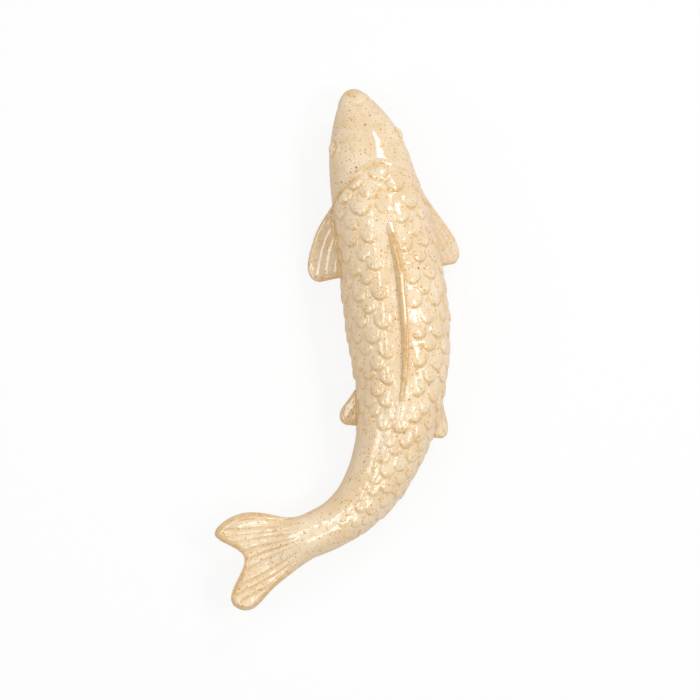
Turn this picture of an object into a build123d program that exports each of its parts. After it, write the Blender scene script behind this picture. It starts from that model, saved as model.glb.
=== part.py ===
from build123d import *
import math
import os
from collections import namedtuple

# A glazed stoneware koi figurine, built as a potter assembles it: two press-moulded body shells that
# meet in a lapped seam, a tail on a spigot, fins on tongues let into the wall, and pellet eyes in sockets.
# A soft stopper closes the vent that every hollow pot needs in the kiln.
# Lengths are millimetres. +Z is up, +Y runs towards the head, +X is the fish's right side,
# and the origin is the middle of the flat foot.

# Plan of the backbone, from the snout to the tail joint, and its direction at both ends
SPINE_POINTS = [
    (-18.3, 92.3),
    (-13.0, 73.6),
    (-7.8, 50.6),
    (-2.1, 23.0),
    (3.5, -14.0),
    (5.0, -40.0),
    (1.5, -66.7),
    (-6.7, -87.7),
    (-22.0, -105.2),
    (-38.3, -113.4),
]
SNOUT_DIRECTION = (0.25, -0.97)
TAIL_DIRECTION = (-0.935, -0.355)

# Body section at each station: distance from the snout, half width, height over the seam, depth under it
Station = namedtuple("Station", "along half_width back belly")
LIPS = Station(along=0.4, half_width=2.3, back=2.1, belly=2.1)
CHEEK = Station(along=7.6, half_width=8.7, back=7.4, belly=7.2)
EYES = Station(along=25.0, half_width=16.6, back=14.8, belly=14.2)
NAPE = Station(along=43.0, half_width=19.9, back=19.8, belly=19.0)
SHOULDER = Station(along=71.0, half_width=22.1, back=23.4, belly=21.8)
MIDDLE = Station(along=108.0, half_width=23.7, back=24.6, belly=22.2)
REAR = Station(along=145.0, half_width=19.6, back=21.0, belly=19.8)
STEM = Station(along=184.0, half_width=14.0, back=15.0, belly=13.4)
WRIST = Station(along=209.0, half_width=10.8, back=10.8, belly=10.0)
JOINT_HALF_WIDTH = 10.2
JOINT_BACK = 8.6
JOINT_BELLY = 8.2
BACK_FULLNESS = 2.1
BELLY_FULLNESS = 2.5
SECTIONS = 16
SECTION_CROWDING = 1.5
RING_STEPS = 10

# Body wall, seam and foot
SEAM_HEIGHT = 21.0
WALL = 3.6
FOOT_THICKNESS = 5.0
SNOUT_SOLID = 14.0
LAP_DEPTH = 2.5
LAP_CLEARANCE = 0.15
SLIP_GAP = 0.15
SEAT_DEPTH = 1.8

# Side fins: station and height of the front root, length along the body, reach, a point on the leading
# edge (out, aft), round of the tip, thickness, droop, and where the tongue starts and ends
SideFin = namedtuple(
    "SideFin",
    "along height length span lead tip_radius thickness droop tongue_start tongue_end",
)
LEFT_PECTORAL = SideFin(
    along=51.0,
    height=15.5,
    length=33.6,
    span=18.0,
    lead=(12.0, 17.4),
    tip_radius=6.0,
    thickness=3.0,
    droop=30.0,
    tongue_start=6.0,
    tongue_end=29.0,
)
LEFT_PELVIC = SideFin(
    along=142.0,
    height=15.0,
    length=16.8,
    span=7.0,
    lead=(4.0, 6.2),
    tip_radius=4.2,
    thickness=2.8,
    droop=30.0,
    tongue_start=4.0,
    tongue_end=14.0,
)
RIGHT_PECTORAL = LEFT_PECTORAL._replace(along=51.5, length=36.8, droop=42.0)
RIGHT_PELVIC = LEFT_PELVIC._replace(along=144.0, length=17.4, droop=45.0)
FIN_EDGE_RADIUS = 1.0
TONGUE_THICKNESS = 1.8
ROOT_OVERRUN = 9.0

# Dorsal fin
DORSAL_START = 64.0
DORSAL_END = 146.0
DORSAL_HEIGHT = 4.0
DORSAL_END_HEIGHT = 0.9
DORSAL_PEAK = 86.0
DORSAL_WIDTH = 6.4
DORSAL_CREST_FRONT = 1.7
DORSAL_CREST_REAR = -1.6
DORSAL_CREST_WIDTH = 2.0
DORSAL_CREST_ROUND = 0.5
DORSAL_SECTIONS = 9

# Tail fin, in its own plan: distance behind the joint, then distance towards the lower lobe
TAIL_ROOT = 3.0
TAIL_UPPER_LOBE = [(12.0, -15.7), (20.0, -19.8), (30.0, -20.9), (39.0, -16.2), (34.4, -9.0)]
TAIL_NOTCH = (30.3, -1.6)
TAIL_LOWER_LOBE = [(34.2, 4.6), (42.6, 16.9), (38.2, 21.4), (25.2, 17.7), (14.0, 13.6)]
TAIL_THICKNESS = 5.6
TAIL_EDGE_RADIUS = 1.8
TAIL_BLEND = 22.0
TAIL_BLEND_HALF_WIDTH = 14.0
TAIL_BLEND_SINK = 0.3
SPIGOT_LENGTH = 8.0
SPIGOT_CLEARANCE = 0.2

# Eyes, raised from the seam by an angle on each side
LEFT_EYE_ANGLE = 17.0
RIGHT_EYE_ANGLE = 17.0
EYE_RADIUS = 3.7
EYE_BULGE = 1.3
EYE_SEAT = 1.9
EYE_CLEARANCE = 0.1

# Vent under the belly, and its stopper
VENT_ALONG = 78.0
VENT_RADIUS = 4.0
VENT_RECESS_RADIUS = 7.5
VENT_RECESS_DEPTH = 2.2
STOPPER_CLEARANCE = 0.05
STOPPER_HEAD_RADIUS = 6.6
STOPPER_HEAD_THICKNESS = 1.8
STOPPER_LENGTH = 5.0
STOPPER_CHAMFER = 0.8

UP = Vector(0, 0, 1)
REACH = 400.0
OVERRUN = 4.0

spine = Spline(*SPINE_POINTS, tangents=[SNOUT_DIRECTION, TAIL_DIRECTION])
JOINT = Station(along=spine.length, half_width=JOINT_HALF_WIDTH, back=JOINT_BACK, belly=JOINT_BELLY)
STATIONS = [LIPS, CHEEK, EYES, NAPE, SHOULDER, MIDDLE, REAR, STEM, WRIST, JOINT]


def smooth(positions, values, at):
    """Cubic curve through the given values, with slopes taken from the neighbours."""
    last = len(positions) - 1
    slopes = []
    for i in range(last + 1):
        before, after = max(i - 1, 0), min(i + 1, last)
        slopes.append((values[after] - values[before]) / (positions[after] - positions[before]))
    i = 0
    while i < last - 1 and at > positions[i + 1]:
        i += 1
    step = positions[i + 1] - positions[i]
    t = (at - positions[i]) / step
    return (
        (1 + 2 * t) * (1 - t) ** 2 * values[i]
        + t * (1 - t) ** 2 * step * slopes[i]
        + t * t * (3 - 2 * t) * values[i + 1]
        - t * t * (1 - t) * step * slopes[i + 1]
    )


def body_size(along):
    """Half width, back height and belly depth at a distance from the snout.
    The square root of that distance keeps the snout round."""
    roots = [math.sqrt(station.along) for station in STATIONS]
    at = math.sqrt(min(along, JOINT.along))
    return [
        smooth(roots, [getattr(station, name) for station in STATIONS], at)
        for name in ("half_width", "back", "belly")
    ]


def body_frame(along):
    """Point on the backbone, unit vector to the fish's right, and unit vector towards the tail.
    Past the tail joint the backbone runs straight on."""
    inside = min(along, spine.length)
    centre = spine.position_at(inside, position_mode=PositionMode.LENGTH) + UP * SEAM_HEIGHT
    aft = spine.tangent_at(inside, position_mode=PositionMode.LENGTH).normalized()
    return centre + aft * (along - inside), UP.cross(aft), aft


def power(value, exponent):
    return math.copysign(abs(value) ** exponent, value)


def ring_point(centre, right, sizes, angle):
    """Point on an oval section, at an angle up from the fish's right side."""
    half_width, back, belly = sizes
    upper = math.sin(math.radians(angle)) >= 0
    fullness = 2 / (BACK_FULLNESS if upper else BELLY_FULLNESS)
    across = half_width * power(math.cos(math.radians(angle)), fullness)
    height = (back if upper else belly) * power(math.sin(math.radians(angle)), fullness)
    return centre + right * across + UP * height


def ring(centre, right, sizes):
    """Closed outline of an oval section: one curve up each side, from the keel to the ridge."""
    rising = [180 * i / RING_STEPS - 90 for i in range(RING_STEPS + 1)]
    right_side = [ring_point(centre, right, sizes, angle) for angle in rising]
    left_side = [ring_point(centre, right, sizes, angle + 180) for angle in rising]
    return Wire(
        [
            Spline(*right_side, tangents=[right, -right]),
            Spline(*left_side, tangents=[-right, right]),
        ]
    )


def body(inset=0.0, start=LIPS.along, end=JOINT.along):
    """Solid of the body's outside, drawn in by an inset, between two distances from the snout.
    Its sections crowd together towards the snout."""
    first, last = start ** (1 / SECTION_CROWDING), end ** (1 / SECTION_CROWDING)
    rings = []
    for i in range(SECTIONS + 1):
        along = (first + (last - first) * i / SECTIONS) ** SECTION_CROWDING
        centre, right, _ = body_frame(along)
        rings.append(ring(centre, right, [size - inset for size in body_size(along)]))
    return Solid.make_loft(rings)


def below(height):
    """Everything under a level plane."""
    return Pos(0, 0, height - REACH / 2) * Box(REACH, REACH, REACH)


def above(height):
    """Everything over a level plane."""
    return Pos(0, 0, height + REACH / 2) * Box(REACH, REACH, REACH)


def surface_frame(along, angle):
    """Plane on the body's surface, its normal pointing out and its X axis towards the tail."""
    centre, right, _ = body_frame(along)
    point = ring_point(centre, right, body_size(along), angle)
    step = 0.5
    next_centre, next_right, _ = body_frame(along + step)
    lengthwise = ring_point(next_centre, next_right, body_size(along + step), angle) - point
    around = ring_point(centre, right, body_size(along), angle + step) - point
    return Plane(point, x_dir=lengthwise, z_dir=lengthwise.cross(around) * -1)


def eye(side):
    """A domed pellet in a round seat, and the socket that is cut for it."""
    frame = surface_frame(EYES.along, RIGHT_EYE_ANGLE if side > 0 else 180 - LEFT_EYE_ANGLE)
    dome_radius = (EYE_RADIUS**2 + EYE_BULGE**2) / (2 * EYE_BULGE)
    dome = Pos(0, 0, EYE_BULGE - dome_radius) * Sphere(dome_radius)
    down = (Align.CENTER, Align.CENTER, Align.MIN)
    shank = Pos(0, 0, -EYE_SEAT) * Cylinder(EYE_RADIUS, EYE_SEAT + EYE_BULGE, align=down)
    pellet = (shank & above(0) & dome) + (shank & below(0))
    hole_radius = EYE_RADIUS + EYE_CLEARANCE
    hole_depth = EYE_SEAT + EYE_CLEARANCE
    socket = Pos(0, 0, -hole_depth) * Cylinder(hole_radius, hole_depth + EYE_BULGE, align=down)
    return frame * pellet, frame * socket


def rounded_plate(outline, thickness, radius, root):
    """Plate of even thickness on the outline, rounded along its rim but not along its root line."""
    plate = Pos(0, 0, -thickness / 2) * extrude(outline, thickness)
    levels = plate.edges().group_by(Axis.Z)
    rims = [edge for edge in levels[0] + levels[-1] if edge.center().X > root + radius]
    return fillet(rims, radius)


def fin_plane(fin, side):
    """Plane of a side fin: X points out from the body and droops, Y runs towards the tail."""
    centre, right, aft = body_frame(fin.along)
    half_width = body_size(fin.along)[0]
    out = right * side
    root = Vector(centre.X, centre.Y, fin.height) + out * half_width
    droop = math.radians(fin.droop)
    drooping = out * math.cos(droop) - UP * math.sin(droop)
    return Plane(root, x_dir=drooping, z_dir=drooping.cross(aft))


def side_fin(fin, side, trim, floor_of_seat, floor_of_socket):
    """A fan-shaped fin with a tongue along its root, and the mortise that is cut for the tongue."""
    plane = fin_plane(fin, side)
    tip_start = (fin.span, fin.length - fin.tip_radius)
    tip_end = (fin.span - fin.tip_radius, fin.length)
    inside = (-ROOT_OVERRUN, -fin.tip_radius)
    leading = Spline(inside, (0, 0), fin.lead, tip_start, tangents=[(1, 0.4), (0, 1)])
    tip = RadiusArc(tip_start, tip_end, -fin.tip_radius)
    trailing = Line(tip_end, (-ROOT_OVERRUN, fin.length))
    root = Line((-ROOT_OVERRUN, fin.length), inside)
    outline = make_face([leading, tip, trailing, root])
    blade = plane * rounded_plate(outline, fin.thickness, FIN_EDGE_RADIUS, -ROOT_OVERRUN)
    tongue_length = fin.tongue_end - fin.tongue_start
    middle = (fin.tongue_start + fin.tongue_end) / 2
    strip = Pos(0, middle, 0) * Box(2 * ROOT_OVERRUN, tongue_length, TONGUE_THICKNESS)
    slot = Pos(0, middle, 0) * Box(
        2 * ROOT_OVERRUN, tongue_length + 2 * SLIP_GAP, TONGUE_THICKNESS + 2 * SLIP_GAP
    )
    strip_inside = plane * (strip - Pos(fin.span, 0, 0) * Box(2 * fin.span - fin.tip_radius, REACH, REACH))
    tongue = strip_inside - floor_of_seat
    mortise = plane * slot - floor_of_socket
    return (blade - trim) + tongue, mortise


def dorsal_height(along):
    """Height of the dorsal fin over the back: a quick rise to the peak, then a long fall."""
    if along < DORSAL_PEAK:
        share = (along - DORSAL_START) / (DORSAL_PEAK - DORSAL_START)
    else:
        share = (DORSAL_END - along) / (DORSAL_END - DORSAL_PEAK)
    return DORSAL_END_HEIGHT + (DORSAL_HEIGHT - DORSAL_END_HEIGHT) * math.sin(math.pi / 2 * share)


def dorsal_solid(grow=0.0):
    """A long low wedge let into the back, whose crest swings from the fish's right to its left."""
    rings = []
    for i in range(DORSAL_SECTIONS):
        share = i / (DORSAL_SECTIONS - 1)
        along = DORSAL_START - grow + (DORSAL_END - DORSAL_START + 2 * grow) * share
        centre, right, _ = body_frame(along)
        top = centre + UP * body_size(along)[1]
        half = DORSAL_WIDTH / 2 + grow
        rise = dorsal_height(min(max(along, DORSAL_START), DORSAL_END)) + grow
        offset = DORSAL_CREST_FRONT + (DORSAL_CREST_REAR - DORSAL_CREST_FRONT) * share
        ridge_left = top + right * (offset - DORSAL_CREST_WIDTH / 2) + UP * rise
        ridge_right = top + right * (offset + DORSAL_CREST_WIDTH / 2) + UP * rise
        crest = top + right * offset + UP * (rise + DORSAL_CREST_ROUND)
        foot_left = top - right * half - UP * (SEAT_DEPTH + grow)
        foot_right = top + right * half - UP * (SEAT_DEPTH + grow)
        side_left = top - right * half
        side_right = top + right * half
        outline = [
            Line(foot_left, foot_right),
            Line(foot_right, side_right),
            Line(side_right, ridge_right),
            ThreePointArc(ridge_right, crest, ridge_left),
            Line(ridge_left, side_left),
            Line(side_left, foot_left),
        ]
        rings.append(Wire(outline))
    return Solid.make_loft(rings)


def tail_plane():
    """Plane of the tail fin: X runs behind the joint, Y towards the lower lobe."""
    centre, _, aft = body_frame(JOINT.along)
    return Plane(centre, x_dir=aft, z_dir=UP)


def behind(along):
    """Everything on the tail side of a station."""
    centre, _, aft = body_frame(along)
    block = Box(REACH, REACH, REACH, align=(Align.MIN, Align.CENTER, Align.CENTER))
    return Plane(centre, x_dir=aft, z_dir=UP) * block


def tail_fin():
    """A forked fan that thickens into a spigot, which plugs the open end of the body."""
    plane = tail_plane()
    upper_root = (TAIL_ROOT, -JOINT.half_width)
    lower_root = (TAIL_ROOT, JOINT.half_width)
    rim = Spline(upper_root, *TAIL_UPPER_LOBE, TAIL_NOTCH, *TAIL_LOWER_LOBE, lower_root)
    outline = make_face([rim, Line(lower_root, upper_root)])
    fan = plane * rounded_plate(outline, TAIL_THICKNESS, TAIL_EDGE_RADIUS, TAIL_ROOT)
    thin = TAIL_THICKNESS / 2 - TAIL_BLEND_SINK
    blend = []
    for share in (0.0, 0.33, 0.67, 1.0):
        slim = math.cos(math.pi / 2 * share) ** 2
        centre, right, _ = body_frame(JOINT.along + SLIP_GAP + share * TAIL_BLEND)
        half_width = JOINT.half_width + (TAIL_BLEND_HALF_WIDTH - JOINT.half_width) * share
        sizes = [half_width, thin + (JOINT.back - thin) * slim, thin + (JOINT.belly - thin) * slim]
        blend.append(ring(centre, right, sizes))
    spigot = body(WALL + SPIGOT_CLEARANCE, SNOUT_SOLID, JOINT.along + OVERRUN)
    return fan + Solid.make_loft(blend) + (spigot & behind(JOINT.along - SPIGOT_LENGTH))


def vent_stopper():
    """A soft plug with a flat head that sits in the foot's recess, and the hole and recess for it."""
    place = spine.position_at(VENT_ALONG, position_mode=PositionMode.LENGTH)
    low = (Align.CENTER, Align.CENTER, Align.MIN)
    seat = VENT_RECESS_DEPTH
    head = Pos(0, 0, seat - STOPPER_HEAD_THICKNESS) * Cylinder(
        STOPPER_HEAD_RADIUS, STOPPER_HEAD_THICKNESS, align=low
    )
    shank = Pos(0, 0, seat) * Cylinder(VENT_RADIUS - STOPPER_CLEARANCE, STOPPER_LENGTH, align=low)
    shank = chamfer(shank.edges().group_by(Axis.Z)[-1], STOPPER_CHAMFER)
    hole = Cylinder(VENT_RADIUS, SEAM_HEIGHT, align=low)
    recess = Cylinder(VENT_RECESS_RADIUS, VENT_RECESS_DEPTH, align=low)
    at = Pos(place.X, place.Y, 0)
    return at * (head + shank), at * (hole + recess)


outside = body() - below(0)
past_joint = JOINT.along + OVERRUN
cavity = body(WALL, SNOUT_SOLID, past_joint) - below(FOOT_THICKNESS)
lip = body(WALL / 2 + LAP_CLEARANCE, SNOUT_SOLID - WALL / 2 + LAP_CLEARANCE)
lip_pocket = body(WALL / 2, SNOUT_SOLID - WALL / 2, past_joint)
trim = body(-SLIP_GAP)
floor_of_seat = body(SEAT_DEPTH)
floor_of_socket = body(SEAT_DEPTH + SLIP_GAP)

upper = (outside & above(SEAM_HEIGHT)) - cavity
lip_wall = (lip - cavity) & above(SEAM_HEIGHT - LAP_DEPTH) & below(SEAM_HEIGHT + LAP_DEPTH)
back_shell = upper + lip_wall
belly_shell = (outside & below(SEAM_HEIGHT)) - cavity
belly_shell = belly_shell - (lip_pocket & above(SEAM_HEIGHT - LAP_DEPTH - LAP_CLEARANCE))

parts = {}
for name, side, pectoral, pelvic in (
    ("left", -1, LEFT_PECTORAL, LEFT_PELVIC),
    ("right", 1, RIGHT_PECTORAL, RIGHT_PELVIC),
):
    pellet, socket = eye(side)
    parts[f"{name}_eye"] = pellet
    back_shell = back_shell - socket
    for kind, fin in (("pectoral", pectoral), ("pelvic", pelvic)):
        blade, mortise = side_fin(fin, side, trim, floor_of_seat, floor_of_socket)
        parts[f"{name}_{kind}_fin"] = blade
        belly_shell = belly_shell - mortise

stopper, vent = vent_stopper()
parts["vent_stopper"] = stopper
parts["dorsal_fin"] = dorsal_solid()
parts["tail_fin"] = tail_fin()
parts["back_shell"] = back_shell - dorsal_solid(SLIP_GAP)
parts["belly_shell"] = belly_shell - vent

os.makedirs("parts", exist_ok=True)
for name, part in parts.items():
    part.label = name
    export_step(part, f"parts/{name}.step")
    print(name, len(part.solids()), round(part.volume, 1))
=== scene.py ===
import math

import bmesh
import bpy
import numpy as np
from mathutils import Matrix, Vector


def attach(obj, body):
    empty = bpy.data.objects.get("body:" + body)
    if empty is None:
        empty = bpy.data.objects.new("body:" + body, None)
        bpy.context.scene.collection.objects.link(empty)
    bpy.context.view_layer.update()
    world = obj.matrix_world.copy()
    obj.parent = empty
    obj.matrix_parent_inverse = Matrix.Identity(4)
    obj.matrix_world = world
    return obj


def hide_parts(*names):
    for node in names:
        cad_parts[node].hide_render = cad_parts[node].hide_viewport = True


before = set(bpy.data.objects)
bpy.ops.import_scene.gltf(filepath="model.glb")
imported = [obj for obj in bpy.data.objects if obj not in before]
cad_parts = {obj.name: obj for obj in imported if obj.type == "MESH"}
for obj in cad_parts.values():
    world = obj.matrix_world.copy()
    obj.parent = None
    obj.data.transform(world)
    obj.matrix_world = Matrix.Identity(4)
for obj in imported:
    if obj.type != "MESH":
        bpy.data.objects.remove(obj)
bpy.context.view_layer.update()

# A glazed stoneware fish, seen from above. Lengths are millimetres in the frame of the CAD model, and turn
# into metres where a mesh is made. Distances along the body run from the snout, and angles round it run
# up from the fish's right side.
MM = 0.001
UP = np.array([0.0, 0.0, 1.0])
rng = np.random.default_rng(11)

# Backbone and body sections, as in the CAD model
SPINE = np.array([
    (-18.3, 92.3), (-13.0, 73.6), (-7.8, 50.6), (-2.1, 23.0), (3.5, -14.0),
    (5.0, -40.0), (1.5, -66.7), (-6.7, -87.7), (-22.0, -105.2), (-38.3, -113.4),
])
SNOUT_DIRECTION = np.array([0.25, -0.97])
TAIL_DIRECTION = np.array([-0.935, -0.355])
SEAM = 21.0
STATION_ALONG = np.array([0.4, 7.6, 25.0, 43.0, 71.0, 108.0, 145.0, 184.0, 209.0, 0.0])
HALF_WIDTH = np.array([2.3, 8.7, 16.6, 19.9, 22.1, 23.7, 19.6, 14.0, 10.8, 10.2])
BACK = np.array([2.1, 7.4, 14.8, 19.8, 23.4, 24.6, 21.0, 15.0, 10.8, 8.6])
BELLY = np.array([2.1, 7.2, 14.2, 19.0, 21.8, 22.2, 19.8, 13.4, 10.0, 8.2])
BACK_FULLNESS = 2.1
BELLY_FULLNESS = 2.5
WALL = 3.6
SNOUT_SOLID = 14.0
FOOT_THICKNESS = 5.0

# Head
NAPE = 36.0
HEAD_ROLL = 4.0
LIP = 6.6
EYE_ALONG = 25.0
EYE_ANGLE = 17.0
EYE_RADIUS = 3.7
EYE_BULGE = 1.32
EYE_SEAT = 1.9

# Scales: columns run along the body, and every other column is set half a scale back
SCALE_PITCH = 13.2
SCALE_COLUMN = 5.6
SCALE_HEIGHT = 1.6
FIRST_COLUMN_LEFT = 3.4
FIRST_COLUMN_RIGHT = 0.9
NAPE_SWELL = 0.36

# Dorsal fin: places along the body, with the height, crest and feet there
DORSAL_ALONG = [62.5, 64, 68, 76, 86, 98, 112, 126, 138, 146, 150]
DORSAL_RISE = [0.0, 0.6, 1.5, 2.5, 3.2, 3.3, 3.0, 2.4, 1.6, 0.9, 0.2]
DORSAL_CREST = [0.9, 0.9, 1.0, 1.2, 1.5, 0.9, 0.5, -0.4, -0.9, -1.4, -1.6]
DORSAL_LEFT = [-1.3, -1.4, -1.3, -0.9, -0.5, -0.9, -1.1, -1.8, -2.3, -2.7, -2.9]
DORSAL_RIGHT = [3.1, 3.2, 3.3, 3.4, 3.6, 2.9, 2.4, 1.4, 0.7, 0.1, -0.2]

# Tail outline: distance behind the body's end, then distance towards the lower lobe
TAIL_OUTLINE = [
    (0.0, -10.2), (4.0, -11.1), (12.0, -15.7), (20.0, -19.8), (30.0, -20.9), (39.0, -16.2), (34.4, -9.0),
    (30.3, -1.6), (34.2, 4.6), (42.6, 16.9), (38.2, 21.4), (25.2, 17.7), (14.0, 13.6), (4.0, 10.9),
    (0.0, 10.2),
]
TAIL_TIPS = [(38.9, -17.8), (42.2, 19.6)]
TAIL_PLATE = 2.5
TAIL_FOCUS = 32.0
TAIL_RAY_ANGLE = 3.6

# Vent in the foot
VENT_ALONG = 78.0
VENT_RADIUS = 4.0
RECESS_RADIUS = 7.5
RECESS_DEPTH = 2.2

# Share of the painted golden shade on steep sides that a piece gets; pieces with a low share are also
# smoother
BODY_SIDE_SHADE = 1.0
FIN_SIDE_SHADE = 0.35
RIDGE_SIDE_SHADE = 0.0

# Fineness of the meshes
BODY_ROWS = 486
HALF = 156
INNER = 3
FIN_ROWS = 100
FIN_COLUMNS = 160
DORSAL_ROWS = 270
DORSAL_COLUMNS = 120
TAIL_ROWS = 170
TAIL_COLUMNS = 220
VENT_SIDES = 96
EYE_SIDES = 72
SHARP_ANGLE = 55
JITTER = 64

# Camera and stage
IMAGE_PIXELS = 700
PIXEL_SIZE = 0.46
CAMERA_DISTANCE = 1.2
CAMERA_LEAN = 5.0
CAMERA_AIM = (-18.4, -27.6)
FLOOR_REACH = 3
FLOOR_DROP = 0.2
FLOOR_WHITE_SEEN = 0.86
FLOOR_WHITE_REFLECTED = 0.35
WORLD_STRENGTH = 0.3


def through(points, count, start=None, end=None):
    """Smooth curve through the points, as evenly spaced points, and its length."""
    points = np.asarray(points, float)
    chords = np.linalg.norm(np.diff(points, axis=0), axis=1)
    t = np.concatenate([[0.0], np.cumsum(chords)])
    n = len(t)
    matrix = np.eye(n)
    rise = np.zeros((n, points.shape[1]))
    slope = np.diff(points, axis=0) / chords[:, None]
    for i in range(1, n - 1):
        matrix[i, i - 1:i + 2] = chords[i - 1], 2 * (chords[i - 1] + chords[i]), chords[i]
        rise[i] = 6 * (slope[i] - slope[i - 1])
    if start is not None:
        matrix[0, :2] = 2 * chords[0], chords[0]
        rise[0] = 6 * (slope[0] - start / np.linalg.norm(start))
    if end is not None:
        matrix[-1, -2:] = chords[-1], 2 * chords[-1]
        rise[-1] = 6 * (end / np.linalg.norm(end) - slope[-1])
    bend = np.linalg.solve(matrix, rise)
    at = np.linspace(0, t[-1], 4000)
    i = np.clip(np.searchsorted(t, at) - 1, 0, n - 2)
    h = chords[i][:, None]
    a = (t[i + 1] - at)[:, None]
    b = (at - t[i])[:, None]
    curve = (bend[i] * a**3 + bend[i + 1] * b**3) / (6 * h)
    curve += (points[i] / h - bend[i] * h / 6) * a
    curve += (points[i + 1] / h - bend[i + 1] * h / 6) * b
    return resample(curve, np.linspace(0, 1, count)), run_of(curve)[-1]


def run_of(line):
    return np.concatenate([[0.0], np.cumsum(np.linalg.norm(np.diff(line, axis=0), axis=1))])


def resample(line, shares):
    """Points of a line at the given shares of its length."""
    run = run_of(line)
    return np.stack([np.interp(shares * run[-1], run, line[:, k]) for k in range(line.shape[1])], 1)


def step(low, high, x):
    t = np.clip((x - low) / (high - low), 0, 1)
    return t * t * (3 - 2 * t)


def bump(x, middle, width):
    return np.exp(-(((x - middle) / width) ** 2))


spine_line, LENGTH = through(SPINE, 6000, SNOUT_DIRECTION, TAIL_DIRECTION)
spine_run = np.linspace(0, LENGTH, len(spine_line))
spine_way = np.gradient(spine_line, axis=0)
spine_way /= np.linalg.norm(spine_way, axis=1)[:, None]
STATION_ALONG[-1] = LENGTH


def backbone(along):
    """Centres, right-hand and tailward unit vectors at distances along the body."""
    along = np.asarray(along, float)
    level = np.zeros_like(along)
    place = [np.interp(along, spine_run, spine_line[:, k]) for k in (0, 1)]
    way = [np.interp(along, spine_run, spine_way[:, k]) for k in (0, 1)]
    aft = np.stack(way + [level], -1)
    return np.stack(place + [level + SEAM], -1), np.cross(UP, aft), aft


def size(along, values):
    """One of the body's measures at distances along it, smooth in the root of the distance."""
    along = np.asarray(along, float)
    q = np.sqrt(STATION_ALONG)
    x = np.sqrt(np.clip(along, STATION_ALONG[0], LENGTH))
    i = np.clip(np.searchsorted(q, x) - 1, 0, len(q) - 2)
    before = np.maximum(np.arange(len(q)) - 1, 0)
    after = np.minimum(np.arange(len(q)) + 1, len(q) - 1)
    slope = (values[after] - values[before]) / (q[after] - q[before])
    gap = q[i + 1] - q[i]
    t = (x - q[i]) / gap
    smooth = (1 + 2 * t) * (1 - t) ** 2 * values[i] + t * (1 - t) ** 2 * gap * slope[i]
    smooth += t * t * (3 - 2 * t) * values[i + 1] - t * t * (1 - t) * gap * slope[i + 1]
    return smooth * np.sqrt(np.clip(along / STATION_ALONG[0], 0, 1))


def skin(along, angle, inset=0.0):
    """Points on the body's oval sections."""
    centre, right, _ = backbone(along)
    c = np.cos(np.radians(angle))
    s = np.sin(np.radians(angle))
    power = np.where(s >= 0, 2 / BACK_FULLNESS, 2 / BELLY_FULLNESS)
    depth = np.where(s >= 0, size(along, BACK), size(along, BELLY)) - inset
    across = (size(along, HALF_WIDTH) - inset) * np.sign(c) * np.abs(c) ** power
    height = depth * np.sign(s) * np.abs(s) ** power
    return centre + right * across[..., None] + UP * height[..., None]


EYE_PLACES = [skin(np.array([EYE_ALONG]), np.array([a]))[0] for a in (EYE_ANGLE, 180 - EYE_ANGLE)]


# Relief of the body
lattice_along = np.linspace(0, LENGTH, 2000)
girth = np.clip(size(lattice_along, HALF_WIDTH) / HALF_WIDTH.max(), 0.3, 1)
swell = 1 + NAPE_SWELL * (1 - step(46, 78, lattice_along))
lattice_pitch = SCALE_PITCH * girth**0.5 * (0.5 + 0.5 * swell)
lattice_column = SCALE_COLUMN * girth**0.6 * swell
lattice_row = np.concatenate([[0.0], np.cumsum(np.diff(lattice_along) / lattice_pitch[1:])])
scale_jitter = rng.uniform(-1, 1, (JITTER, JITTER, 4))


def scales(along, arc, centre_line):
    """Height of the overlapping scales, and how near each point is to a scale's rear rim."""
    row = np.interp(along, lattice_along, lattice_row)
    pitch = np.interp(along, lattice_along, lattice_pitch)
    column = np.interp(along, lattice_along, lattice_column)
    total = np.zeros_like(row)
    highest = np.zeros_like(row)
    rim = np.zeros_like(row)
    for side, first_column in ((-1, FIRST_COLUMN_LEFT), (1, FIRST_COLUMN_RIGHT)):
        across = side * arc / column - first_column / SCALE_COLUMN
        nearest = np.round(across).astype(int)
        for j in (nearest - 1, nearest, nearest + 1):
            lag = 0.5 * ((j + (side > 0)) % 2)
            first = np.floor(row - lag).astype(int)
            for i in (first - 1, first, first + 1, first + 2):
                wobble = scale_jitter[i % JITTER, (2 * j + (side > 0)) % JITTER]
                reach = 0.84 * column * (1 + 0.13 * wobble[..., 0])
                behind = (row - lag - i) * pitch - 1.4 * wobble[..., 1]
                beside = (across - j) * column - 0.8 * wobble[..., 2]
                radius = np.hypot(behind / np.where(behind > 0, reach, 1.9 * reach), beside / reach)
                tilt = 0.55 + 0.45 * np.clip(behind / reach, -1, 1)
                pillow = np.clip(1 - radius**2.1, 0, 1) ** 0.9 * tilt * (0.85 + 0.35 * wobble[..., 3])
                pillow *= np.where(j < 0, 0, np.where(j == 0, centre_line, 1)) * column / SCALE_COLUMN
                crescent = bump(radius, 0.84, 0.14) * np.clip(behind / reach + 0.45, 0, 1)
                rim = np.where(pillow > highest, crescent, rim)
                highest = np.maximum(highest, pillow)
                total += pillow**6
    return SCALE_HEIGHT * total ** (1 / 6), rim


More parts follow.
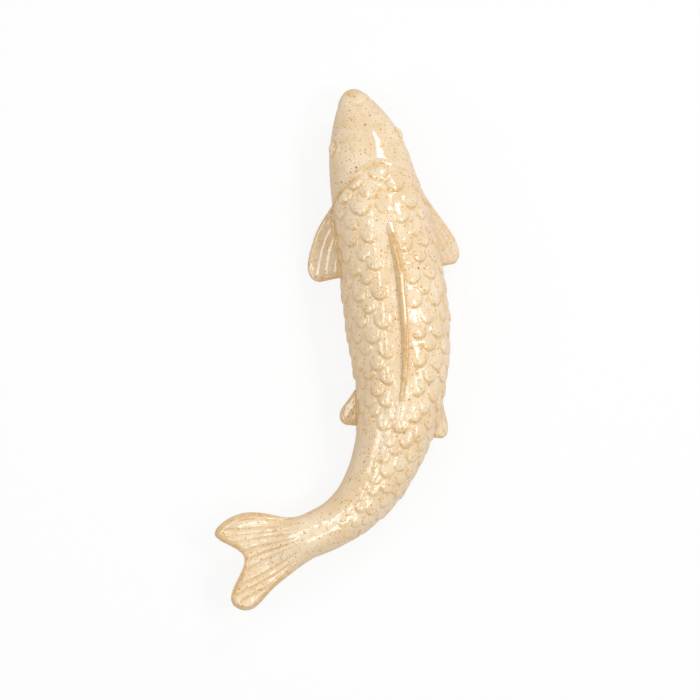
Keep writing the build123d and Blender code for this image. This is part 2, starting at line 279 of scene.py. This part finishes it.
def body_relief(along, angle, arc, points):
    """Outward relief of the body, and its share of golden rim colour."""
    from_ridge = np.abs((angle - 90 + 180) % 360 - 180)
    from_crown = np.abs((angle - 90 + HEAD_ROLL + 180) % 360 - 180)
    behind = along - NAPE - 5.2 * ((np.hypot(from_crown, 5) - 5) / 34) ** 1.15
    on_back = 1 - step(118, 165, from_ridge)
    dorsal = step(56, 64, along) * (1 - step(148, 158, along))
    height, rim = scales(along, arc, 1 - dorsal)
    scaled = step(0.6, 4.0, behind) * (1 - step(112, 150, from_ridge))
    scaled *= 1 - dorsal * (1 - step(2.6, 4.4, np.where(arc > 0, arc, -arc - 2.0)))
    scaled *= 1 - step(146, 170, along) * step(-2.0, 9.0, -arc)
    scaled *= 1 - step(204, 224, along + 0.5 * np.abs(arc - 8))
    scaled *= 1 - 0.15 * step(145, 185, along)
    cheek = step(30, 40, from_ridge) * (1 - step(75, 90, from_ridge)) * (arc > 0)
    scaled *= 1 - 0.85 * cheek * (1 - step(6, 9, behind))
    relief = height * scaled
    gold = 0.85 * rim * scaled
    # edge of the head, with a bead along it and fine gill lines behind it on the right
    along_edge = on_back * np.where(arc > 0, 1 - 0.5 * step(8, 20, from_ridge), 1)
    relief += along_edge * (0.65 * bump(behind, 0.0, 0.8) - 0.25 * bump(behind, 1.3, 0.6))
    gold = np.maximum(gold, 0.9 * along_edge * bump(behind, 0.9, 0.7))
    for line in (2.4, 4.6, 6.6):
        relief -= 0.22 * cheek * bump(behind, line, 0.6)
    # rolled lip, mouth and eyelids
    lip = LIP + 1.0 * np.cos(np.radians(angle - 90)) ** 2
    relief += 0.16 * bump(along, lip - 2.4, 1.7) - 0.24 * bump(along, lip, 0.9)
    relief -= 0.5 * bump(from_ridge, 97, 4.5) * (1 - step(5.5, 9.0, along)) * step(0.1, 1.0, along)
    gold = np.maximum(gold, 0.45 * (1 - step(1.0, 4.5, along)))
    for place in EYE_PLACES:
        gap = np.linalg.norm(points - place, axis=-1)
        upper = step(-0.5, 2.0, points[..., 2] - place[2])
        relief += 0.3 * bump(gap, 4.9, 1.0) * upper - 0.15 * bump(gap, 6.8, 1.4)
        gold = np.maximum(gold, 0.7 * bump(gap, 4.0, 0.6) * upper)
    # hollow to the left of the dorsal fin, and a keel behind it
    relief -= 0.4 * step(70, 84, along) * (1 - step(126, 146, along)) * bump(arc, -4.2, 2.2)
    relief += 0.7 * step(142, 150, along) * (1 - step(158, 190, along)) * bump(arc, -1.2, 1.5)
    # unevenness of handwork, gone where the tail is joined
    swing = np.sin(0.31 * along + 0.05 * angle) * np.sin(0.043 * angle + 0.11 * along)
    relief += 0.09 * swing * step(4, 20, along)
    return relief * (1 - step(LENGTH - 8, LENGTH - 1, along)), np.clip(gold, 0, 1)


# Meshes
glazed_pieces = []


def make(name, verts, faces, gold, node, side_shade=BODY_SIDE_SHADE):
    """A piece from points in millimetres, in place of a CAD node, with its golden share at each point and
    its share of the painted golden shade on steep sides."""
    mesh = bpy.data.meshes.new(name)
    mesh.from_pydata((np.asarray(verts) * MM).tolist(), [], faces)
    for key, values in (("gold", np.asarray(gold)), ("side_shade", np.full(len(verts), side_shade))):
        layer = mesh.attributes.new(key, "FLOAT", "POINT")
        layer.data.foreach_set("value", values.astype(np.float32))
    piece = bpy.data.objects.new(name, mesh)
    bpy.context.scene.collection.objects.link(piece)
    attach(piece, "fish")
    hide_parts(node)
    clean(mesh)
    glazed_pieces.append(piece)
    return piece


def clean(mesh):
    """Joins points that coincide, turns all faces outwards and shades them smoothly."""
    work = bmesh.new()
    work.from_mesh(mesh)
    bmesh.ops.remove_doubles(work, verts=work.verts, dist=0.004 * MM)
    bmesh.ops.dissolve_degenerate(work, edges=work.edges, dist=0.001 * MM)
    bmesh.ops.recalc_face_normals(work, faces=work.faces)
    work.to_mesh(mesh)
    work.free()
    mesh.shade_smooth()
    mesh.set_sharp_from_angle(angle=math.radians(SHARP_ANGLE))


def grid_faces(rows, columns, start=0, flip=False, wrap=False):
    """Four-sided faces of a grid of points."""
    faces = []
    for i in range(rows - 1):
        for j in range(columns if wrap else columns - 1):
            a = start + i * columns + j
            b = start + i * columns + (j + 1) % columns
            face = (a, b, b + columns, a + columns)
            faces.append(face[::-1] if flip else face)
    return faces


def slab(middle, normal, top, under):
    """Closed plate: a grid of middle points, thickened both ways along one normal."""
    rows, columns = middle.shape[:2]
    count = rows * columns
    upper = middle + normal * top[..., None]
    lower = middle - normal * under[..., None]
    faces = grid_faces(rows, columns) + grid_faces(rows, columns, count, flip=True)
    index = np.arange(count).reshape(rows, columns)
    border = [*index[0], *index[1:, -1], *index[-1, -2::-1], *index[-2:0:-1, 0]]
    for a, b in zip(border, border[1:] + border[:1]):
        faces.append((int(a), int(a) + count, int(b) + count, int(b)))
    return np.concatenate([upper.reshape(-1, 3), lower.reshape(-1, 3)]), faces


def patch(first, last, left, right):
    """Grid between four boundary curves: first and last run across it, left and right along it."""
    t = share_along(left)[:, None, None]
    w = share_along(first)[None, :, None]
    blend = (1 - w) * left[:, None] + w * right[:, None] + (1 - t) * first[None] + t * last[None]
    corners = (1 - t) * ((1 - w) * first[0] + w * first[-1]) + t * ((1 - w) * last[0] + w * last[-1])
    return blend - corners


def share_along(line):
    return run_of(line) / run_of(line)[-1]


def crowd(count, start, end):
    """Shares from 0 to 1 that crowd together at the start, the end or both."""
    t = np.linspace(0, 1, count)
    if start and end:
        return t - 0.85 * np.sin(2 * math.pi * t) / (2 * math.pi)
    return t**1.7 if start else 1 - (1 - t) ** 1.7


def distance_to(points, line):
    """Shortest distance of each point of a flat grid to the points of a line."""
    return np.sqrt(np.min([((points - p) ** 2).sum(-1) for p in line], 0))


def round_rim(distance, radius):
    return np.sqrt(np.clip(1 - (1 - np.clip(distance / radius, 0, 1)) ** 2, 0, 1))


# Body: one grid right round the fish, split at the seam into two hollow shells
rows = np.concatenate([np.linspace(0.12, 2.0, 17)[:-1] ** 2, np.linspace(4.0, LENGTH, BODY_ROWS)])
angles = np.linspace(0, 360, 2 * HALF + 1)
along, angle = np.meshgrid(rows, angles, indexing="ij")
base = skin(along, angle)
around = np.concatenate([base[:, -2:-1], base, base[:, 1:2]], 1)
outward = np.cross(around[:, 2:] - around[:, :-2], np.gradient(base, axis=0))
outward *= -1 if outward[300, HALF // 2, 2] < 0 else 1
outward /= np.linalg.norm(outward, axis=-1)[..., None]
quarter = np.linalg.norm(np.diff(base, axis=1), axis=-1)
arc = np.concatenate([np.zeros((len(rows), 1)), np.cumsum(quarter, 1)], 1)
arc = arc[:, HALF // 2][:, None] - arc + (angle > 270) * quarter.sum(1)[:, None]
relief, body_gold = body_relief(along, angle, arc, base)
shape = base + outward * relief[..., None]
shape[..., 2] = np.maximum(shape[..., 2], 0.0)


def shell(name, node, first):
    """One closed half of the body: outside, seam faces, tail end and hollow inside."""
    outside = shape[:, first:first + HALF + 1]
    n, m = outside.shape[:2]
    solid_rows = int(np.searchsorted(rows, SNOUT_SOLID))
    solid_rows += (n - 1 - solid_rows) % INNER
    inner_grid = np.meshgrid(rows[solid_rows::INNER], angles[first:first + HALF + 1:INNER], indexing="ij")
    inside = skin(*inner_grid, inset=WALL)
    inside[..., 2] = np.maximum(inside[..., 2], FOOT_THICKNESS)
    k, w = inside.shape[:2]
    start = n * m
    faces = grid_faces(n, m, flip=True) + grid_faces(k, w, start)
    for i in range(k - 1):
        for column, inner_column in ((0, 0), (m - 1, w - 1)):
            edge = [(solid_rows + i * INNER + r) * m + column for r in range(INNER + 1)]
            faces.append(tuple(edge + [start + (i + 1) * w + inner_column, start + i * w + inner_column]))
    for j in range(w - 1):
        edge = [(n - 1) * m + j * INNER + r for r in range(INNER + 1)]
        faces.append(tuple(edge + [start + (k - 1) * w + j + 1, start + (k - 1) * w + j]))
    snout = [i * m for i in range(solid_rows, -1, -1)] + [i * m + m - 1 for i in range(solid_rows + 1)]
    faces.append(tuple(snout + [start + w - 1, start]))
    faces.append(tuple(start + j for j in range(w)))
    faces.append(tuple(range(m)))
    verts = np.concatenate([outside.reshape(-1, 3), inside.reshape(-1, 3)])
    gold = np.concatenate([body_gold[:, first:first + HALF + 1].reshape(-1), np.zeros(k * w)])
    return make(name, verts, faces, gold, node)


def lathe(profile, count):
    """Points and faces of a profile of (radius, height) turned about the vertical, open at both ends."""
    turn = np.linspace(0, 2 * math.pi, count, endpoint=False)
    ring = np.stack([np.cos(turn), np.sin(turn)], 1)
    points = [np.column_stack([r * ring, np.full(count, z)]) for r, z in profile]
    return np.concatenate(points), grid_faces(len(profile), count, wrap=True)


def cut_vent(belly):
    """Opens the vent and its recess through the foot."""
    recess = [(RECESS_RADIUS, -2.0), (RECESS_RADIUS, RECESS_DEPTH)]
    hole = [(VENT_RADIUS, RECESS_DEPTH), (VENT_RADIUS, 9.0)]
    points, faces = lathe(recess + hole, VENT_SIDES)
    faces += [tuple(range(VENT_SIDES)), tuple(range(len(points) - VENT_SIDES, len(points)))]
    centre = backbone(np.array([VENT_ALONG]))[0][0] * (1, 1, 0)
    mesh = bpy.data.meshes.new("vent")
    mesh.from_pydata(((points + centre) * MM).tolist(), [], faces)
    clean(mesh)
    cutter = bpy.data.objects.new("vent", mesh)
    bpy.context.scene.collection.objects.link(cutter)
    cut = belly.modifiers.new("vent", "BOOLEAN")
    cut.operation = "DIFFERENCE"
    cut.solver = "MANIFOLD"
    cut.object = cutter
    bpy.context.view_layer.objects.active = belly
    bpy.ops.object.modifier_apply(modifier=cut.name)
    bpy.data.objects.remove(cutter)


shell("scaled_back", "back_shell", 0)
cut_vent(shell("belly", "belly_shell", HALF))


# Fins
def clear_of_body(points):
    """How far points stand out sideways from the body."""
    picked = spine_line[::12]
    near = np.argmin(((points[..., None, :2] - picked) ** 2).sum(-1), -1) * 12
    place = spine_run[near]
    centre, right, _ = backbone(place)
    rise = points[..., 2] - SEAM
    depth = np.where(rise > 0, size(place, BACK), size(place, BELLY))
    full = np.where(rise > 0, BACK_FULLNESS, BELLY_FULLNESS)
    width = size(place, HALF_WIDTH) * (1 - np.clip(np.abs(rise) / depth, 0, 1) ** full) ** (1 / full)
    return np.abs(((points - centre) * right).sum(-1)) - width


def side_fin(name, node, side, along, height, length, span, lead, tip, thickness, droop, rays):
    """Drooping fan, whose rays spread from the front of its root to its rounded end."""
    centre, right, aft = [v[0] for v in backbone(np.array([along]))]
    root = centre + side * right * size(along, HALF_WIDTH)
    root[2] = height
    lean = math.radians(droop)
    out = side * right * math.cos(lean) - UP * math.sin(lean)
    normal = np.cross(out, aft)
    normal *= np.sign(normal[2])
    inside = -4.2
    slant = np.array(lead[0])
    front = tuple(inside * slant / slant[0])
    split = (inside, 0.42 * length)
    edge_points = [front, (0, 0), *lead, (span, length - tip)]
    lead_edge, _ = through(edge_points, 400, slant, np.array([0.0, 1.0]))
    bend = np.linspace(0, math.pi / 2, 60)
    corner = np.array([span - tip, length - tip]) + tip * np.stack([np.cos(bend), np.sin(bend)], 1)
    end_edge = np.concatenate([corner, [(inside, length)]])
    out_share = crowd(FIN_ROWS, False, True)
    round_share = crowd(FIN_COLUMNS, True, False)
    plan = patch(
        resample(np.array([front, split]), round_share),
        resample(end_edge, round_share),
        resample(lead_edge, out_share),
        resample(np.array([split, (inside, length)]), out_share),
    )
    middle = root + plan[..., :1] * out + plan[..., 1:] * aft
    rim_line = np.concatenate([lead_edge[::4], resample(end_edge, np.linspace(0, 1, 140))])
    edge = distance_to(plan, rim_line)
    edge[-1] = 0
    edge[:, 0] = 0
    plate = thickness / 2 * round_rim(edge, thickness * 0.7)
    w = round_share[None, :]
    phase = rays * (w**0.85 + 0.02 * np.sin(8 * w))
    ridge = 1 - (2 * (phase - np.floor(phase)) - 1) ** 2
    fade = step(0.08, 0.4, out_share)[:, None] * step(0.6, 2.6, edge)
    clear = np.clip(clear_of_body(middle), 0, 40)
    flare = 0.7 * np.exp(-clear / 2.5)
    lip = 0.4 * bump(edge, 1.5, 1.0)
    top = plate + fade * (0.2 * ridge - 0.08) + (flare + lip) * step(0, 0.6, edge)
    under = plate + fade * (0.3 * ridge - 0.15) + 0.5 * flare * step(0, 0.6, edge)
    verts, faces = slab(middle, normal, top, under)
    # golden where the glaze breaks over the rim and lies in the grooves between rays, plus painted shade,
    # golden, close to the root where the fin meets the body
    gold = 0.7 * bump(edge, 0.3, 1.2) + 0.3 * fade * bump(ridge, 0.0, 0.25) + 0.6 * np.exp(-clear / 1.6)
    make(name, verts, faces, np.tile(np.clip(gold, 0, 1).reshape(-1), 2), node, side_shade=FIN_SIDE_SHADE)


PECTORAL = dict(height=15.5, tip=5.6, thickness=3.0, rays=7.0)
LEFT_PECTORAL = dict(along=51.0, length=32.8, span=18.4, lead=[(9.6, 9.2), (14.2, 16.2)], droop=30)
RIGHT_PECTORAL = dict(along=51.5, length=36.8, span=18.0, lead=[(5.9, 8.7), (11.6, 16.6)], droop=42)
PELVIC = dict(height=15.0, span=7.0, lead=[(4.0, 6.2)], tip=4.2, thickness=2.8, rays=4.0)
side_fin("pectoral_fan_left", "left_pectoral_fin", -1, **LEFT_PECTORAL, **PECTORAL)
side_fin("pectoral_fan_right", "right_pectoral_fin", 1, **RIGHT_PECTORAL, **PECTORAL)
side_fin("pelvic_fan_left", "left_pelvic_fin", -1, along=142.0, length=16.8, droop=30, **PELVIC)
side_fin("pelvic_fan_right", "right_pelvic_fin", 1, along=144.0, length=17.4, droop=45, **PELVIC)


def dorsal_fin():
    """Rounded ridge that swings along the back, steep on its left."""
    places = np.linspace(DORSAL_ALONG[0], DORSAL_ALONG[-1], DORSAL_ROWS)
    along, across = np.meshgrid(places, np.linspace(-5.2, 5.8, DORSAL_COLUMNS), indexing="ij")
    soft = np.hanning(31) / np.hanning(31).sum()

    def follow(values):
        line = np.interp(places, DORSAL_ALONG, values)
        return np.convolve(np.pad(line, 15, mode="edge"), soft, mode="valid")[:, None]

    rise = follow(DORSAL_RISE)
    crest = follow(DORSAL_CREST)
    left = np.clip((crest - across) / (crest - follow(DORSAL_LEFT)), 0, 1)
    right = np.clip((across - crest) / (follow(DORSAL_RIGHT) - crest), 0, 1)
    centre, side, _ = backbone(along)

    def back_height(offset):
        fall = np.abs(offset / size(along, HALF_WIDTH)) ** BACK_FULLNESS
        return size(along, BACK) * (1 - fall) ** (1 / BACK_FULLNESS)

    back = back_height(across)
    middle = centre + side * across[..., None] + UP * back[..., None]
    roof = np.where(across < crest, 0.30 * (crest - across), 0.21 * (across - crest))
    full = np.maximum(rise - roof + back_height(crest + 0 * across) - back, 0)
    top = full * (1 - left**4) ** 1.4 * (1 - right**6) ** 1.3
    top -= 0.35 * (1 - step(0.0, 0.5, top))
    verts, faces = slab(middle, UP, top, np.full_like(top, 1.7))
    gold = bump(across, crest + 0.2, 1.5) * step(0.4, 1.6, rise)
    gold = np.concatenate([gold.reshape(-1), np.zeros(gold.size)])
    make("dorsal_ridge", verts, faces, gold, "dorsal_fin", side_shade=RIDGE_SIDE_SHADE)


def tail_fin():
    """Forked fan that grows out of the body's round end and flattens behind it."""
    outline, _ = through(TAIL_OUTLINE, 1400, np.array([1, -0.15]), np.array([-1, -0.1]))
    upper_tip, lower_tip = [int(np.argmin(((outline - tip) ** 2).sum(1))) for tip in TAIL_TIPS]
    along_share = crowd(TAIL_ROWS, False, True)
    across_share = crowd(TAIL_COLUMNS, True, True)
    half = HALF_WIDTH[-1]
    upper_edge = resample(outline[:upper_tip + 1], along_share)
    end_edge = resample(outline[upper_tip:lower_tip + 1], across_share)
    lower_edge = resample(outline[lower_tip:][::-1], along_share)
    root_edge = resample(np.array([(0.0, -half), (0.0, half)]), across_share)
    plan = patch(root_edge, end_edge, upper_edge, lower_edge)
    edge = distance_to(plan, outline[::3])
    edge[-1] = 0
    edge[:, 0] = 0
    edge[:, -1] = 0
    lead = distance_to(plan, np.concatenate([upper_edge, lower_edge]))
    off = plan[..., 0]
    t = np.clip(off / 29.0, 0, 1)
    last_height = 1.3

    def stem(depth, full):
        """Oval of the body's end, flattening away, with the body's own slope at the start."""
        height = depth * (1 + 2 * t) * (1 - t) ** 2 - 3.2 * t * (1 - t) ** 2
        height += last_height * t * t * (3 - 2 * t)
        spread = np.clip(np.abs(plan[..., 1]) / (half + 0.17 * off), 0, 1)
        return height * (1 - spread**full) ** (1 / full)

    plate = TAIL_PLATE * round_rim(edge, 2.9) * step(0.0, 8.0, off)
    phase = np.degrees(np.arctan2(plan[..., 1], off + TAIL_FOCUS)) / TAIL_RAY_ANGLE
    phase += 0.22 * np.sin(0.11 * off + 0.9 * phase) + 0.15 * np.sin(2.1 * phase)
    ray = np.round(phase).astype(int)
    groove = bump(phase - ray, 0.0, 0.15) * (0.85 + 0.35 * scale_jitter[ray % JITTER, 5, 0])
    fade = step(4, 15, off) * step(0.8, 3.4, edge) * step(1.6, 4.2, lead)
    roll = 0.7 * bump(lead, 2.2, 1.5) * step(10, 20, off) * step(0.0, 1.0, edge)
    carve = fade * (0.2 - 0.8 * groove) + roll - 0.3 * step(2.5, 6.0, edge) * step(14, 26, off)
    top = (plate**5 + stem(BACK[-1], BACK_FULLNESS) ** 5) ** 0.2 + carve
    under = (plate**5 + stem(BELLY[-1], BELLY_FULLNESS) ** 5) ** 0.2 + 0.6 * carve
    end, right, aft = [v[0] for v in backbone(np.array([LENGTH]))]
    middle = end + plan[..., :1] * aft + plan[..., 1:] * right
    verts, faces = slab(middle, UP, top, under)
    gold = 0.7 * bump(edge, 0.8, 1.8) * step(8, 16, off) + 0.45 * fade * groove
    make("tail_fan", verts, faces, np.tile(np.clip(gold, 0, 1).reshape(-1), 2), "tail_fin")


def eye(name, node, angle):
    """Domed pellet with a fine groove round it, set square to the head."""
    here = skin(np.array([EYE_ALONG]), np.array([angle]))[0]
    lengthwise = skin(np.array([EYE_ALONG + 0.5]), np.array([angle]))[0] - here
    round_way = skin(np.array([EYE_ALONG]), np.array([angle + 0.5]))[0] - here
    normal = np.cross(round_way, lengthwise)
    normal *= np.sign(normal @ (here - backbone(EYE_ALONG)[0])) / np.linalg.norm(normal)
    x_axis = lengthwise / np.linalg.norm(lengthwise)
    axes = np.stack([x_axis, np.cross(normal, x_axis), normal])
    dome = [(r, EYE_BULGE * (1 - (r / 3.45) ** 2)) for r in np.linspace(0.02, 3.3, 24)]
    collar = [(3.5, 0.04), (EYE_RADIUS, -0.05), (EYE_RADIUS, -EYE_SEAT)]
    profile = np.array(dome + collar)
    points, faces = lathe(profile, EYE_SIDES)
    faces += [tuple(range(EYE_SIDES)), tuple(range(len(points) - EYE_SIDES, len(points)))]
    gold = np.repeat(0.6 * bump(profile[:, 0], 3.4, 0.35), EYE_SIDES)
    make(name, here + points @ axes, faces, gold, node, side_shade=FIN_SIDE_SHADE)


dorsal_fin()
tail_fin()
eye("eye_right", "right_eye", EYE_ANGLE)
eye("eye_left", "left_eye", 180 - EYE_ANGLE)


# Materials
def colour(red, green, blue):
    """A colour given in ordinary 0 to 255 values, as the shader takes it."""
    return tuple(((c / 255 + 0.055) / 1.055) ** 2.4 for c in (red, green, blue)) + (1.0,)


class Surface:
    """A material, with short ways to build its tree of nodes."""

    def __init__(self, name):
        self.material = bpy.data.materials.new(name)
        self.material.use_nodes = True
        self.tree = self.material.node_tree
        self.shader = self.tree.nodes["Principled BSDF"]
        self.place = self.add("ShaderNodeTexCoord").outputs["Object"]

    def add(self, kind, inputs=(), **settings):
        node = self.tree.nodes.new(kind)
        for key, value in settings.items():
            setattr(node, key, value)
        for key, value in dict(inputs).items():
            self.put(node.inputs[key], value)
        return node

    def put(self, socket, value):
        if isinstance(value, bpy.types.NodeSocket):
            self.tree.links.new(value, socket)
        else:
            socket.default_value = value

    def math(self, operation, a, b):
        return self.add("ShaderNodeMath", {0: a, 1: b}, operation=operation).outputs[0]

    def ramp(self, value, low, high, to_low=0.0, to_high=1.0):
        inputs = {"Value": value, "From Min": low, "From Max": high, "To Min": to_low, "To Max": to_high}
        return self.add("ShaderNodeMapRange", inputs, interpolation_type="SMOOTHSTEP").outputs["Result"]

    def mix(self, share, a, b):
        return self.add("ShaderNodeMix", {0: share, 6: a, 7: b}, data_type="RGBA").outputs[2]

    def noise(self, scale, detail=3.0, roughness=0.5):
        inputs = {"Vector": self.place, "Scale": scale, "Detail": detail, "Roughness": roughness}
        return self.add("ShaderNodeTexNoise", inputs).outputs["Fac"]

    def specks(self, scale, share, small, large):
        """Round spots of uneven size in some cells of a random pattern, and a random value for each."""
        cells = self.add("ShaderNodeTexVoronoi", {"Vector": self.place, "Scale": scale})
        chance = self.add("ShaderNodeSeparateColor", {0: cells.outputs["Color"]})
        radius = self.ramp(chance.outputs[1], 0.0, 1.0, small * MM * scale, large * MM * scale)
        outer = self.math("MULTIPLY", radius, 1.2)
        inner = self.math("MULTIPLY", radius, 0.6)
        spot = self.ramp(cells.outputs["Distance"], outer, inner)
        present = self.math("LESS_THAN", chance.outputs[0], share)
        return self.math("MULTIPLY", present, spot), chance.outputs[2]

    def bump(self, height, strength, depth):
        node = self.add("ShaderNodeBump", {"Height": height, "Strength": strength, "Distance": depth * MM})
        self.put(self.shader.inputs["Normal"], node.outputs[0])


def speckled_glaze():
    """Warm cream glaze, golden where it breaks over edges, with painted golden shade on steep sides, iron
    specks and a bare clay foot.
    """
    surface = Surface("speckled_glaze")
    cream = colour(241, 215, 177)
    pale = colour(248, 228, 196)
    warm = colour(228, 192, 142)
    gold = colour(214, 162, 72)
    iron = colour(214, 156, 54)
    dark = colour(146, 96, 30)
    clay = colour(196, 160, 118)
    tint = surface.mix(surface.ramp(surface.noise(60.0, 4.0), 0.36, 0.66), cream, pale)
    cloud = surface.ramp(surface.noise(260.0, 5.0, 0.65), 0.46, 0.70, 0.0, 0.5)
    tint = surface.mix(cloud, tint, warm)
    normal = surface.add("ShaderNodeNewGeometry").outputs["Normal"]
    upward = surface.add("ShaderNodeSeparateXYZ", {0: normal}).outputs[2]
    level = surface.math("ABSOLUTE", upward, 0.0)
    side_shade = surface.add("ShaderNodeAttribute", attribute_name="side_shade").outputs["Fac"]
    # painted shade: steep sides, seen from above, are tinted warm and then golden, standing in for the
    # light falling off there
    steep = surface.math("MULTIPLY", side_shade, surface.ramp(level, 0.75, 0.15, 0.0, 0.75))
    steeper = surface.math("MULTIPLY", side_shade, surface.ramp(level, 0.4, 0.0, 0.0, 0.6))
    tint = surface.mix(steep, tint, warm)
    tint = surface.mix(steeper, tint, gold)
    edge = surface.add("ShaderNodeAttribute", attribute_name="gold").outputs["Fac"]
    broken = surface.ramp(surface.noise(450.0, 4.0, 0.65), 0.3, 0.62, 0.35, 0.85)
    tint = surface.mix(surface.math("MULTIPLY", edge, broken), tint, gold)
    for scale, share, small, large, strength in (
        (780.0, 0.90, 0.22, 0.38, 0.80),
        (450.0, 0.62, 0.32, 0.54, 0.90),
        (300.0, 0.25, 0.40, 0.62, 0.95),
    ):
        spot, pick = surface.specks(scale, share, small, large)
        tone = surface.mix(surface.ramp(pick, 0.88, 1.0), iron, dark)
        tint = surface.mix(surface.math("MULTIPLY", spot, strength), tint, tone)
    height = surface.add("ShaderNodeSeparateXYZ", {0: surface.place}).outputs[2]
    line = surface.math("ADD", height, surface.math("MULTIPLY", surface.noise(260.0), 0.6 * MM))
    bare = surface.ramp(line, 1.3 * MM, 0.9 * MM)
    tint = surface.mix(bare, tint, surface.mix(surface.noise(900.0, 4.0), clay, warm))
    gloss = surface.ramp(surface.noise(90.0), 0.3, 0.7, 0.07, 0.13)
    dull = surface.math("MULTIPLY", bare, 0.85)
    surface.put(surface.shader.inputs["Base Color"], tint)
    surface.put(surface.shader.inputs["Roughness"], surface.math("MAXIMUM", gloss, dull))
    surface.shader.inputs["IOR"].default_value = 1.6
    fine = surface.math("MULTIPLY", surface.noise(620.0, 2.0), 0.3)
    lengthwise = surface.add("ShaderNodeSeparateXYZ", {0: surface.place}).outputs[1]
    uneven = surface.ramp(lengthwise, 58.0 * MM, 44.0 * MM, 0.2, 0.45)
    uneven = surface.math("MULTIPLY", uneven, surface.ramp(side_shade, 0.3, 1.0, 0.35, 1.0))
    surface.bump(surface.math("ADD", surface.noise(230.0, 2.0), fine), uneven, 0.5)
    return surface.material


def soft_rubber():
    """Dull grey rubber with a fine grain."""
    surface = Surface("soft_rubber")
    grain = surface.noise(1500.0, 4.0, 0.6)
    light = colour(172, 166, 156)
    shade = colour(146, 140, 130)
    tint = surface.mix(surface.ramp(surface.noise(200.0), 0.35, 0.7), light, shade)
    tint = surface.mix(surface.math("MULTIPLY", grain, 0.25), tint, colour(120, 114, 106))
    surface.put(surface.shader.inputs["Base Color"], tint)
    surface.put(surface.shader.inputs["Roughness"], surface.ramp(grain, 0.3, 0.7, 0.55, 0.75))
    surface.bump(grain, 0.25, 0.2)
    return surface.material


glaze = speckled_glaze()
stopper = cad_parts["vent_stopper"]
for piece in glazed_pieces:
    piece.data.materials.clear()
    piece.data.materials.append(glaze)
for slot in stopper.material_slots:
    slot.material = soft_rubber()


# Stage
def pale_floor():
    """Pale floor that looks white from above but keeps the shadow, and is clear from below."""
    mesh = bpy.data.meshes.new("floor")
    corners = [(x * FLOOR_REACH, y * FLOOR_REACH, 0) for x, y in ((-1, -1), (1, -1), (1, 1), (-1, 1))]
    mesh.from_pydata(corners, [], [(0, 1, 2, 3)])
    floor = bpy.data.objects.new("floor", mesh)
    bpy.context.scene.collection.objects.link(floor)
    floor.location.z = -FLOOR_DROP * MM
    surface = Surface("pale_floor")
    surface.shader.inputs["Base Color"].default_value = (0.92, 0.92, 0.92, 1.0)
    surface.shader.inputs["Roughness"].default_value = 0.8
    rays = surface.add("ShaderNodeLightPath").outputs
    bounced = surface.math("MAXIMUM", rays["Is Glossy Ray"], rays["Is Transmission Ray"])
    seen = surface.math("MULTIPLY", rays["Is Camera Ray"], FLOOR_WHITE_SEEN)
    reflected = surface.math("MULTIPLY", bounced, FLOOR_WHITE_REFLECTED)
    seen = surface.math("MAXIMUM", seen, reflected)
    white = surface.add("ShaderNodeEmission", {"Color": (1.0, 1.0, 1.0, 1.0), "Strength": 1.0})
    blend = surface.add("ShaderNodeMixShader", {0: seen})
    surface.put(blend.inputs[1], surface.shader.outputs[0])
    surface.put(blend.inputs[2], white.outputs[0])
    below = surface.add("ShaderNodeNewGeometry").outputs["Backfacing"]
    one_sided = surface.add("ShaderNodeMixShader", {0: below})
    surface.put(one_sided.inputs[1], blend.outputs[0])
    surface.put(one_sided.inputs[2], surface.add("ShaderNodeBsdfTransparent").outputs[0])
    surface.put(surface.tree.nodes["Material Output"].inputs["Surface"], one_sided.outputs[0])
    mesh.materials.append(surface.material)


def softbox(name, place, long_way, width, length, power):
    """Rectangular lamp aimed at the fish, with its long side along the given direction."""
    light = bpy.data.lights.new(name, "AREA")
    light.shape = "RECTANGLE"
    light.size = width
    light.size_y = length
    light.energy = power
    lamp = bpy.data.objects.new(name, light)
    bpy.context.scene.collection.objects.link(lamp)
    back = Vector(place).normalized()
    across = Vector(long_way).cross(back).normalized()
    turn = Matrix((across, back.cross(across), back)).transposed()
    lamp.matrix_world = Matrix.Translation(place) @ turn.to_4x4()


def camera_above():
    """Camera almost straight above, leaning a little towards the fish's left."""
    lean = math.radians(CAMERA_LEAN)
    field = IMAGE_PIXELS * PIXEL_SIZE * MM
    view = Vector((-math.sin(lean), 0, math.cos(lean)))
    across = Vector((0, 1, 0)).cross(view)
    camera = bpy.data.objects.new("camera", bpy.data.cameras.new("camera"))
    bpy.context.scene.collection.objects.link(camera)
    turn = Matrix((across, Vector((0, 1, 0)), view)).transposed()
    place = MM * Vector((*CAMERA_AIM, SEAM)) + CAMERA_DISTANCE * view
    camera.matrix_world = Matrix.Translation(place) @ turn.to_4x4()
    camera.data.angle = 2 * math.atan(0.5 * field / CAMERA_DISTANCE)
    bpy.context.scene.camera = camera


pale_floor()
softbox("right", (0.38, 0.03, 0.74), (0.0, 1.0, 0.0), 0.17, 0.24, 1.7)
softbox("front", (0.28, 0.55, 0.61), (1.0, -0.4, 0.0), 0.15, 0.28, 1.7)
softbox("left", (-0.43, 0.04, 0.83), (0.0, 1.0, 0.0), 0.11, 0.50, 1.2)
softbox("rear", (-0.02, -0.36, 0.87), (1.0, 0.0, 0.0), 0.14, 0.34, 1.0)
softbox("low_right", (0.56, -0.25, 0.66), (0.0, 1.0, 0.0), 0.16, 0.20, 0.6)
softbox("low_left", (-0.75, -0.16, 0.55), (0.0, 1.0, 0.0), 0.19, 0.28, 0.8)
softbox("fill", (-0.15, 0.05, 0.95), (0.0, 1.0, 0.0), 0.7, 0.9, 0.6)
world = bpy.data.worlds.new("studio")
world.use_nodes = True
world.node_tree.nodes["Background"].inputs["Color"].default_value = (1.0, 1.0, 1.0, 1.0)
world.node_tree.nodes["Background"].inputs["Strength"].default_value = WORLD_STRENGTH
bpy.context.scene.world = world
camera_above()
bpy.context.scene.view_settings.view_transform = "Standard"
